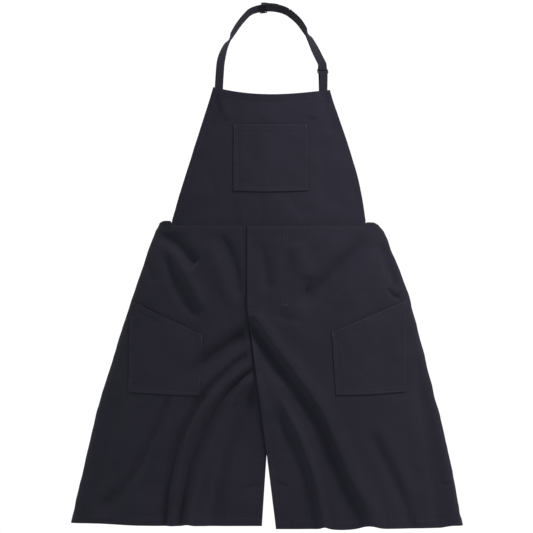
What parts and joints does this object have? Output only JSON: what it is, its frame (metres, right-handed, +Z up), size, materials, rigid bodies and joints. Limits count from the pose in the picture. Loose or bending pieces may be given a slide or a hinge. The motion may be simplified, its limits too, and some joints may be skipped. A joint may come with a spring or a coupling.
{
  "type": "artist smock apron",
  "caption": "Dark navy canvas smock apron with a halter neck strap, slider and ring, chest pocket, hip pockets with slanted mouths and split leg panels.",
  "frame": {"origin": "inner face of the neck strap where it rests on the nape, on the apron's middle plane", "axes": "+Z up, -Y the way the wearer faces, +X to the right of someone facing the apron"},
  "size_m": [0.8964, 0.2217, 1.2196],
  "materials": {
    "navy_canvas": "matt, plain woven cotton canvas with tonal topstitching",
    "navy_webbing": "matt, flat woven webbing",
    "black_plastic": "satin moulded",
    "navy_thread": "dense zigzag thread"
  },
  "bodies": {
    "upper": {"bib_panel": "navy_canvas", "bib_top_facing": "navy_canvas", "bib_left_side_hem": "navy_canvas", "bib_right_side_hem": "navy_canvas", "waist_seam_binding": "navy_canvas", "bib_pocket": "navy_canvas", "bib_pocket_mouth_hem": "navy_canvas", "left_leg_top": "navy_canvas", "right_leg_top": "navy_canvas", "placket_facing": "navy_canvas", "bib_pocket_left_tack": "navy_thread", "bib_pocket_right_tack": "navy_thread", "placket_foot_tack": "navy_thread", "neck_strap_left": "navy_webbing", "neck_strap_to_ring": "navy_webbing", "neck_strap_return": "navy_webbing", "neck_strap_turn": "navy_webbing", "ring_tab": "navy_webbing"},
    "left_leg": {"left_leg_panel": "navy_canvas", "left_leg_hem": "navy_canvas", "left_split_edge_hem": "navy_canvas", "left_back_edge_hem": "navy_canvas", "left_hip_pocket": "navy_canvas", "left_hip_pocket_mouth_hem": "navy_canvas", "left_hip_pocket_outer_tack": "navy_thread", "left_hip_pocket_inner_tack": "navy_thread"},
    "right_leg": {"right_leg_panel": "navy_canvas", "right_leg_hem": "navy_canvas", "right_split_edge_hem": "navy_canvas", "right_back_edge_hem": "navy_canvas", "right_hip_pocket": "navy_canvas", "right_hip_pocket_mouth_hem": "navy_canvas", "right_hip_pocket_outer_tack": "navy_thread", "right_hip_pocket_inner_tack": "navy_thread"},
    "slider": {"strap_slider": "black_plastic", "neck_strap_end_loop": "navy_webbing"},
    "ring": {"strap_ring": "black_plastic"}
  },
  "joints": [
    {"name": "left_leg_swing", "type": "hinge", "parent": "upper", "child": "left_leg", "pos_m": [0, -0.195, -0.676], "axis": [-0.9624, 0.2716, 0], "range_deg": [0, 20]},
    {"name": "right_leg_swing", "type": "hinge", "parent": "upper", "child": "right_leg", "pos_m": [0, -0.195, -0.676], "axis": [-0.9624, -0.2716, 0], "range_deg": [0, 20]},
    {"name": "slider_travel", "type": "hinge", "parent": "upper", "child": "slider", "pos_m": [0, -0.0512, -0.0384], "axis": [0, -0.6, 0.8], "range_deg": [0, 24]},
    {"name": "ring_tilt", "type": "hinge", "parent": "upper", "child": "ring", "pos_m": [0.12495, -0.14332, -0.152], "axis": [0.94, 0.3411, 0], "range_deg": [-5, 5]}
  ],
  "couplings": [
    {"joint": "right_leg_swing", "follows": "left_leg_swing", "ratio": 1}
  ]
}
